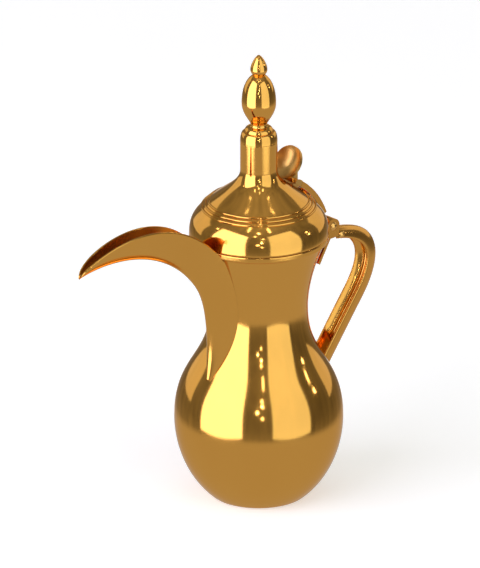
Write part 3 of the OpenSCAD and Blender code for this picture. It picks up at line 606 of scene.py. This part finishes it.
def ringed(name, rings_, mat, crisp=40, inside=None):
    """Joins rings of points (millimetres) into one closed skin, with a finish for its inside."""
    mesh = bmesh.new()
    made = [[mesh.verts.new((x * MM, y * MM, z * MM)) for x, y, z in ring] for ring in rings_]
    count = len(made[0])
    half = count // 2
    for a, b in zip(made, made[1:]):
        for i in range(count):
            j = (i + 1) % count
            face = mesh.faces.new((a[i], a[j], b[j], b[i]))
            if inside and half <= i < count - LIP_STEPS:
                face.material_index = 1
    for ring, flip in ((made[0], False), (made[-1], True)):
        for i in range(half - 1):
            face = (ring[i], ring[i + 1], ring[count - 2 - i], ring[count - 1 - i])
            if len(set(face)) == 4:
                mesh.faces.new(face if flip else tuple(reversed(face)))
    data = bpy.data.meshes.new(name)
    mesh.to_mesh(data)
    mesh.free()
    piece = bpy.data.objects.new(name, data)
    bpy.context.scene.collection.objects.link(piece)
    data.materials.append(mat)
    if inside:
        data.materials.append(inside)
    finish_mesh(piece, None, crisp)
    print(name, "inside faces:", sum(1 for face in data.polygons if face.material_index == 1))
    print(name, len(rings_), "rings,", len(piece.data.polygons), "faces")
    return piece


HOLLOW = 4.6


def dished(share, start):
    """Depth of a shallow dish at a share of its half width."""
    return start + (HOLLOW - start) * max(0.0, 1 - share ** 2)


def gutter_section(wide_, deep, wall, n, power, lip_r=None, dish=0.0):
    """(across, down) points of a bent sheet: outside down and up, round the lip, inside back."""
    lip_r = min(wall / 2, deep * 0.4) if lip_r is None else lip_r
    floor_deep = deep - wall * (1.25 if power > 1 else 1)

    def side(w, d, start, count):
        return [(-w * math.cos(math.pi * i / count),
                 start + (d - start) * math.sin(math.pi * i / count) ** power)
                for i in range(count + 1)]

    def lip(sign):
        mid = sign * (wide_ - wall / 2)
        return [(mid + sign * wall / 2 * math.cos(math.pi * i / LIP_STEPS),
                 lip_r - lip_r * math.sin(math.pi * i / LIP_STEPS)) for i in range(1, LIP_STEPS)]

    outer_ = side(wide_, deep, lip_r, 2 * n)
    inner_ = [(across, d + (dished(across / (wide_ - wall), lip_r) - d) * dish)
              for across, d in reversed(side(wide_ - wall, floor_deep, lip_r, 2 * n))]
    return outer_ + lip(1) + inner_ + list(reversed(lip(-1)))


# %% The spout's lines
SPOUT_FOOT_Z, SPOUT_REACH, SPOUT_TIP_Z = 86.0, 155.4, 188.8
SPOUT_W, ROOT_W, SPOUT_WALL, TOUCH, POUR_Z = 12.4, 11.2, 1.3, 0.03, 142.0
SEAM_RISE, KEEL_AIM, LIP_AIM = 54, 131, 129.2
root_z = RIM_Z - 2
keel_joint = (-BAND_R - 13.9, root_z - 15.8)
keel_start = (-body_r(SPOUT_FOOT_Z), SPOUT_FOOT_Z)
keel_end = (-SPOUT_REACH, SPOUT_TIP_Z - 0.9)
lip_end = (-SPOUT_REACH + 0.3, SPOUT_TIP_Z + 0.5)
lip_start = (-math.sqrt(BAND_R ** 2 - ROOT_W ** 2) - TOUCH, root_z)


def keel_neck(t):
    return bez(keel_start, plus(keel_start, (5.8, 46.6)),
               plus(keel_joint, toward(KEEL_AIM, 17.8), -1), keel_joint, t)


def keel_beak(t):
    return bez(keel_joint, plus(keel_joint, toward(KEEL_AIM, 60.4)),
               plus(keel_end, (-8.2, -0.8)), keel_end, t)


def lip_beak(t):
    return bez(lip_start, plus(lip_start, toward(LIP_AIM, 67.4)),
               plus(lip_end, (0.9, 9.6)), lip_end, t)


def seam_half(z):
    """Half width of the spout where it meets the neck at a height."""
    grow = math.sin(math.radians(90 * min(1, (z - SPOUT_FOOT_Z) / SEAM_RISE))) ** 0.75
    share = max(0, (z - POUR_Z) / (root_z - POUR_Z)) ** 2
    return grow * (SPOUT_W + (ROOT_W - SPOUT_W) * share)


def outside_r(z):
    """Radius that the spout's lips follow: the neck, then a smooth step out to the bead."""
    if z < LIP[1] - 0.8:
        return body_r(z)
    low, high = (body_r(LIP[1] - 0.8), LIP[1] - 0.8), (BAND_R, LIP[1] + 1)
    if z < high[1]:
        return low[0] + (high[0] - low[0]) * math.sqrt((z - low[1]) / (high[1] - low[1]))
    return BAND_R

# %% The spout's rings
SPOUT_N, NECK_STEPS, BEAK_STEPS = 16, 70, 96
FIRST_RING, FLAT_LIP = 2.4, 0.04


def spout_ring(lip_o, lip_i, keel, w, round_lip=1.0):
    """One ring: from the lip's outside and inside edges down to the keel, w to each side."""
    down = (keel[0] - lip_o[0], keel[1] - lip_o[1])
    deep = math.hypot(*down)
    wall = min(SPOUT_WALL, 0.45 * w, 0.45 * deep)
    unit = (down[0] / deep, down[1] / deep)
    lip_r = round_lip * min(wall / 2, deep * 0.4)
    ring = []
    for across, d in gutter_section(w, deep, wall, SPOUT_N, 1.7, lip_r=lip_r):
        share = max(0.0, min(1.0, (w - abs(across)) / wall)) * max(0.0, 1 - d / deep)
        x = lip_o[0] + unit[0] * d + (lip_i[0] - lip_o[0]) * share
        z = lip_o[1] + unit[1] * d
        ring.append((x, across, z))
    return ring


def seam_x(z, y):
    """Where the spout's lip lies against the neck."""
    return -math.sqrt((outside_r(z) + TOUCH) ** 2 - y * y) - TOUCH / 2


spout_rings = []
for i in range(NECK_STEPS + 1):
    z = SPOUT_FOOT_Z + FIRST_RING + (root_z - SPOUT_FOOT_Z - FIRST_RING) * i / NECK_STEPS
    w = seam_half(z)
    wall = min(SPOUT_WALL, 0.45 * w)
    keel = keel_neck((z - SPOUT_FOOT_Z) / (root_z - SPOUT_FOOT_Z))
    lip_o, lip_i = (seam_x(z, w), z), (seam_x(z, w - wall), z)
    spout_rings.append(spout_ring(lip_o, lip_i, keel, w, FLAT_LIP))
for i in range(1, BEAK_STEPS + 1):
    t = i / BEAK_STEPS
    w = bez((ROOT_W,), (5.6,), (7.4,), (0.7,), t)[0]
    lip_o = lip_beak(t)
    spout_rings.append(spout_ring(lip_o, lip_o, keel_beak(t), w, min(1.0, FLAT_LIP + t * 12)))
spout = ringed("spout", spout_rings, spout_brass, inside=spout_inside)
placed(spout, "pot", "brass_body", "spout_trough")

# %% The handle's path and rings
hinge = frame["joints"][0]["pos_m"]
HINGE_X, HINGE_Z = hinge[0] / MM, hinge[2] / MM
GUTTER_W, GUTTER_DEEP, GUTTER_SHALLOW, GUTTER_WALL = 12.4, 11.5, 6.8, 1.3
arm_start = (HINGE_X + 4.8, HINGE_Z - 10.3)
grip_top = (90.0, 139.0)
grip_mid = (74.0, 78 + 0.516 * (139 - 78))
GRIP_RUN = 52.5
foot_end = plus(grip_mid, toward(GRIP_RUN, 36), -1)
path_a = (arm_start, plus(arm_start, (15, -2.4)), plus(grip_top, (0, 11.4)), grip_top)
path_b = (grip_top, plus(grip_top, (0, -11)), plus(grip_mid, toward(GRIP_RUN, 10)), grip_mid)
path_c = (grip_mid, plus(grip_mid, toward(GRIP_RUN, 12), -1),
          plus(foot_end, toward(GRIP_RUN, 12)), foot_end)
ARM_STEPS, GRIP_STEPS, FOOT_STEPS, LAND_STEPS, FOOT_SHARE = 48, 40, 24, 8, 0.7


def heading(path, t):
    """The direction of a path at a share of its length."""
    a, b = bez(*path, max(t - 1e-3, 0)), bez(*path, min(t + 1e-3, 1))
    size = math.hypot(b[0] - a[0], b[1] - a[1])
    return ((b[0] - a[0]) / size, (b[1] - a[1]) / size)


def turn_on(t, start, stop):
    """0 before start, 1 after stop, an even turn between them."""
    return math.sin(math.pi / 2 * max(0, min(1, (t - start) / (stop - start)))) ** 2


def handle_ring(path, t, deep, dish):
    """One ring of the handle, square to its path."""
    at, way = bez(*path, t), heading(path, t)
    rise = (-way[1], way[0])
    return [(at[0] + rise[0] * d, across, at[1] + rise[1] * d)
            for across, d in gutter_section(GUTTER_W / 2, deep, GUTTER_WALL, 12, 1.0, dish=dish)]


handle_rings = []
for i in range(ARM_STEPS + 1):
    t = i / ARM_STEPS
    deep = GUTTER_SHALLOW + (GUTTER_DEEP - GUTTER_SHALLOW) * turn_on(t, 0, 1)
    handle_rings.append(handle_ring(path_a, t, deep, turn_on(t, 0.3, 0.75)))
for i in range(1, GRIP_STEPS + 1):
    handle_rings.append(handle_ring(path_b, i / GRIP_STEPS, GUTTER_DEEP, 1))
for i in range(1, FOOT_STEPS + 1):
    t = FOOT_SHARE * i / FOOT_STEPS
    handle_rings.append(handle_ring(path_c, t, GUTTER_DEEP, 1 - turn_on(t, 0.5, 0.7)))
way = heading(path_c, 0.4)


def landed(p):
    """Slides a point along the handle's run until it meets the belly."""
    lo, hi = 0.0, 60.0
    for _ in range(30):
        mid = (lo + hi) / 2
        x, z = p[0] + way[0] * mid, p[2] + way[1] * mid
        lo, hi = (mid, hi) if math.hypot(x, p[1]) > body_r(z) + 0.07 else (lo, mid)
    return (p[0] + way[0] * lo, p[1], p[2] + way[1] * lo)


foot_ring = [landed(p) for p in handle_rings[-1]]
last = handle_rings[-1]
for k in range(1, LAND_STEPS + 1):
    handle_rings.append([tuple(a + (b - a) * k / LAND_STEPS for a, b in zip(p, q))
                         for p, q in zip(last, foot_ring)])
handle = ringed("handle", handle_rings, fitting_brass)
placed(handle, "pot", "brass_fitting", "handle_gutter")

# %% [markdown]
# ## The lid
# The lid is spun over a wooden form: a full shoulder, then a hollow that sweeps up into the
# throat of the tube. Three half-round rings are rolled into its shoulder. They belong to the
# outline, so the sweep makes them together with the dome.

# %% The lid's outline with its rolled rings
LID_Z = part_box("lid_dome")[0].z / MM
TUBE_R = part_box("tower_tube")[1].x / MM
TOWER_Z = RIM_Z + 44
crest = (33.0, RIM_Z + 21.9)
lid_line = [(BAND_R, LID_Z)]
lid_line += curve((BAND_R, LID_Z), (BAND_R, LID_Z + 10.7), plus(crest, toward(-41, 11.3)), crest, 90)
lid_line += curve(crest, plus(crest, toward(-41, 14), -1), (TUBE_R, TOWER_Z - 9), (TUBE_R, TOWER_Z), 70)
RING_RADII, RING_HALF = (36.4, 34.3, 32.2), 0.78


def with_rings(line):
    """Raises a half-round bead where the line passes each ring's radius."""
    dense = []
    for (r0, z0), (r1, z1) in zip(line, line[1:]):
        parts = 5 if 30 < r0 < 38.5 else 1
        dense += [(r0 + (r1 - r0) * i / parts, z0 + (z1 - z0) * i / parts) for i in range(parts)]
    dense.append(line[-1])
    run = [0.0]
    for a, b in zip(dense, dense[1:]):
        run.append(run[-1] + math.hypot(b[0] - a[0], b[1] - a[1]))
    centres = [min(range(len(dense)), key=lambda k: abs(dense[k][0] - r)) for r in RING_RADII]
    outer_ = inset(dense, -1)
    raised = []
    for k, p in enumerate(dense):
        high = max([math.sqrt(max(0, RING_HALF ** 2 - (run[k] - run[c]) ** 2)) for c in centres])
        raised.append((p[0] + (outer_[k][0] - p[0]) * high, p[1] + (outer_[k][1] - p[1]) * high))
    return raised


lid_inner = [p for p in inset(lid_line, WALL) if LID_Z + 0.4 < p[1] < TOWER_Z - 0.4]
outline = [(BAND_R - WALL, LID_Z + 0.3)]
outline += eased((BAND_R - WALL, LID_Z), (BAND_R, LID_Z), (BAND_R, LID_Z + 3), 0.45)
outline += with_rings(lid_line)[3:]
outline += [(TUBE_R - WALL, TOWER_Z)] + list(reversed(lid_inner)) + [(BAND_R - WALL, LID_Z + 0.3)]
lid = turned("lid", outline, mirror_brass, crisp=40)
placed(lid, "lid", "brass_body", "lid_dome")

# %% The ring that drops into the mouth
SEAT_R, SEAT_Z = 39.5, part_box("lid_seat_ring")[0].z / MM
web = BAND_R - WALL - 0.06
seat_in = SEAT_R - WALL
seat = [(seat_in, SEAT_Z + 0.4)]
seat += eased((seat_in, SEAT_Z), (SEAT_R, SEAT_Z), (SEAT_R, SEAT_Z + 2), 0.4)
seat += [(SEAT_R, LID_Z + 0.2), (web, LID_Z + 0.2), (web, LID_Z + 1.2), (seat_in, LID_Z + 1.2)]
seat_ring = turned("lid_seat", seat + [(seat_in, SEAT_Z + 0.4)], inner_brass)
placed(seat_ring, "lid", "brass_fitting", "lid_seat_ring")

# %% [markdown]
# ## Tube and finial
# Tube, cap, collar, egg and tip are separate turnings threaded on one rod. Each keeps its own
# outline, with edges eased as a polishing wheel eases them.

# %% Tube and cap
CAP_Z, COLLAR_Z = TOWER_Z + 19.6, TOWER_Z + 29.6
EGG_Z, TIP_Z, TOP_Z = COLLAR_Z + 2.8, COLLAR_Z + 34.8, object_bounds()[1][2] / MM
BORE_R = 2.05
spigot = TUBE_R - WALL - 0.05
tube = [(spigot, TOWER_Z - 6), (spigot, TOWER_Z + 0.03)]
tube += eased((spigot, TOWER_Z + 0.03), (TUBE_R, TOWER_Z + 0.03), (TUBE_R, CAP_Z), 0.12, 2)
tube += eased((TUBE_R, TOWER_Z), (TUBE_R, CAP_Z), (TUBE_R - WALL, CAP_Z), 0.2, 3)
tube += [(TUBE_R - WALL, CAP_Z), (TUBE_R - WALL, TOWER_Z + 1), (spigot - WALL, TOWER_Z - 1),
         (spigot - WALL, TOWER_Z - 6), (spigot, TOWER_Z - 6)]
placed(turned("tube", tube, finial_brass, 128), "lid", "brass_body", "tower_tube")
shoulder_r, shoulder_h, button_r, waist_r = 0.81 * TUBE_R, 6.6, 0.77 * TUBE_R, 5.8
button_low = CAP_Z + shoulder_h + 0.1
button_h = COLLAR_Z - button_low
inner_r = TUBE_R - WALL - 0.05
cap = [(BORE_R, CAP_Z + 1.5), (inner_r - 1.2, CAP_Z + 1.5), (inner_r - 1.2, CAP_Z - 3),
       (inner_r, CAP_Z - 3), (inner_r, CAP_Z + 0.03), (TUBE_R - 0.2, CAP_Z + 0.03)]
cap += [(shoulder_r + (TUBE_R - shoulder_r) * math.cos(math.radians(a)),
         CAP_Z + 0.15 + (shoulder_h - 0.12) * math.sin(math.radians(a))) for a in range(0, 91, 5)]
cap += [(waist_r + (button_r - waist_r) * math.cos(math.radians(a)),
         button_low + button_h * math.sin(math.radians(a))) for a in range(0, 91, 6)]
cap += [(BORE_R, COLLAR_Z), (BORE_R, CAP_Z + 1.5)]
placed(turned("tube_cap", cap, finial_brass, 128, 40), "lid", "brass_body", "tower_cap")

# %% Collar, egg and tip
collar_low, WAIST_DEEP = COLLAR_Z + 0.03, 0.35
collar = [(BORE_R, collar_low)]
collar += [(waist_r - WAIST_DEEP * math.sin(math.radians(a)),
            collar_low + (EGG_Z - collar_low) * a / 180) for a in range(0, 181, 12)]
collar += [(BORE_R, EGG_Z), (BORE_R, collar_low)]
placed(turned("collar", collar, finial_brass, 96, 50), "lid", "brass_body", "finial_collar")
EGG_LONG, EGG_R, NECK_R = TIP_Z - EGG_Z, 11.1, 4.0
low, wide_at, high = (waist_r, EGG_Z + 0.03), (EGG_R, EGG_Z + 0.41 * EGG_LONG), (NECK_R, TIP_Z)
egg = [(BORE_R, EGG_Z + 0.03), low]
egg += curve(low, plus(low, (2.7, 0.13 * EGG_LONG)), plus(wide_at, (0, -0.16 * EGG_LONG)),
             wide_at, 28)
egg += curve(wide_at, plus(wide_at, (0, 0.24 * EGG_LONG)), plus(high, (5.2, -0.113 * EGG_LONG)),
             high, 32)
egg += [(BORE_R, TIP_Z), (BORE_R, EGG_Z + 0.03)]
placed(turned("egg", egg, finial_brass, 128, 60), "lid", "brass_body", "finial_egg")
TIP_LONG, TIP_R = TOP_Z - TIP_Z, 5.5
low, wide_at, top = (NECK_R, TIP_Z + 0.03), (TIP_R, TIP_Z + 0.27 * TIP_LONG), (0, TOP_Z)
hole_top = TIP_Z + 0.55 * TIP_LONG
tip = [(0, hole_top), (BORE_R, hole_top), (BORE_R, TIP_Z + 0.03), low]
tip += curve(low, plus(low, (0.6, 1.2)), plus(wide_at, (0, -1.6)), wide_at, 14)
tip += curve(wide_at, plus(wide_at, (0, 0.3 * TIP_LONG)), plus(top, (1.6, 0)), top, 22)
placed(turned("tip", tip, finial_brass, 96, 60), "lid", "brass_body", "finial_tip")

# %% [markdown]
# ## Forged fittings
# Plate, bracket, hinge arm, strap and thumb piece are filed from thick sheet. Their solids are
# already the right shape, but a file leaves no knife edge: each one is copied, its loose
# triangles are merged, and a narrow rounded bevel runs along every real edge to catch the light.

# %% Softened copies of the solids


def softened(node, name, mat, width, angle=35, segments=3):
    """A copy of a solid with its edges rounded by width millimetres."""
    piece = bpy.data.objects.new(name, nodes[node].data.copy())
    bpy.context.scene.collection.objects.link(piece)
    mesh = bmesh.new()
    mesh.from_mesh(piece.data)
    bmesh.ops.remove_doubles(mesh, verts=mesh.verts, dist=2e-6)
    bmesh.ops.dissolve_limit(mesh, angle_limit=math.radians(1.0), verts=mesh.verts, edges=mesh.edges)
    mesh.to_mesh(piece.data)
    mesh.free()
    bevel = piece.modifiers.new("bevel", "BEVEL")
    bevel.width, bevel.segments = width * MM, segments
    bevel.limit_method, bevel.angle_limit = "ANGLE", math.radians(angle)
    bevel.harden_normals = False
    piece.data.polygons.foreach_set("use_smooth", [True] * len(piece.data.polygons))
    even = piece.modifiers.new("even", "WEIGHTED_NORMAL")
    even.keep_sharp = True
    deps_ = bpy.context.evaluated_depsgraph_get()
    data = bpy.data.meshes.new_from_object(piece.evaluated_get(deps_))
    piece.modifiers.clear()
    piece.data = data
    data.materials.clear()
    data.materials.append(mat)
    print(name, len(data.polygons), "faces")
    return piece


for node, name, body, width in (
        ("neck_plate", "plate", "pot", 0.35), ("hinge_bracket", "bracket", "pot", 0.3),
        ("lid_hinge_arm", "hinge_arm", "lid", 0.25), ("lid_strap", "strap", "lid", 0.25),
        ("thumb_piece", "thumb_rest", "lid", 0.3)):
    mat = thumb_brass if node == "thumb_piece" else fitting_brass
    placed(softened(node, name, mat, width), body, "brass_fitting", node)

# %% Solids that keep their shape take a finish of their own
for node, mat in (("foot_pad", inner_brass), ("foot_rivet", rivet_brass),
                  ("finial_rod", inner_brass), ("rod_washer", inner_brass),
                  ("rod_nut", rivet_brass), ("plate_rivets", rivet_brass),
                  ("strap_rivets", rivet_brass), ("handle_rivet", rivet_brass),
                  ("hinge_pin", rivet_brass)):
    nodes[node].data.materials.clear()
    nodes[node].data.materials.append(mat)

# %% [markdown]
# ## The table
# A plain pale sheet, lit softly. It isn't part of the pot.

# %% Floor
floor_data = bpy.data.meshes.new("floor")
FAR = 6
floor_data.from_pydata([(-FAR, -FAR, 0), (FAR, -FAR, 0), (FAR, FAR, 0), (-FAR, FAR, 0)],
                       [], [(0, 1, 2, 3)])
floor = bpy.data.objects.new("floor", floor_data)
bpy.context.scene.collection.objects.link(floor)
paper = bpy.data.materials.new("pale_paper")
paper.use_nodes = True
sheet = paper.node_tree.nodes["Principled BSDF"].inputs
sheet["Base Color"].default_value = (0.87, 0.85, 0.80, 1)
sheet["Roughness"].default_value = 0.9
sheet["Emission Color"].default_value = (1, 1, 1, 1)
sheet["Emission Strength"].default_value = 0.42
floor_data.materials.append(paper)
floor.visible_glossy = False
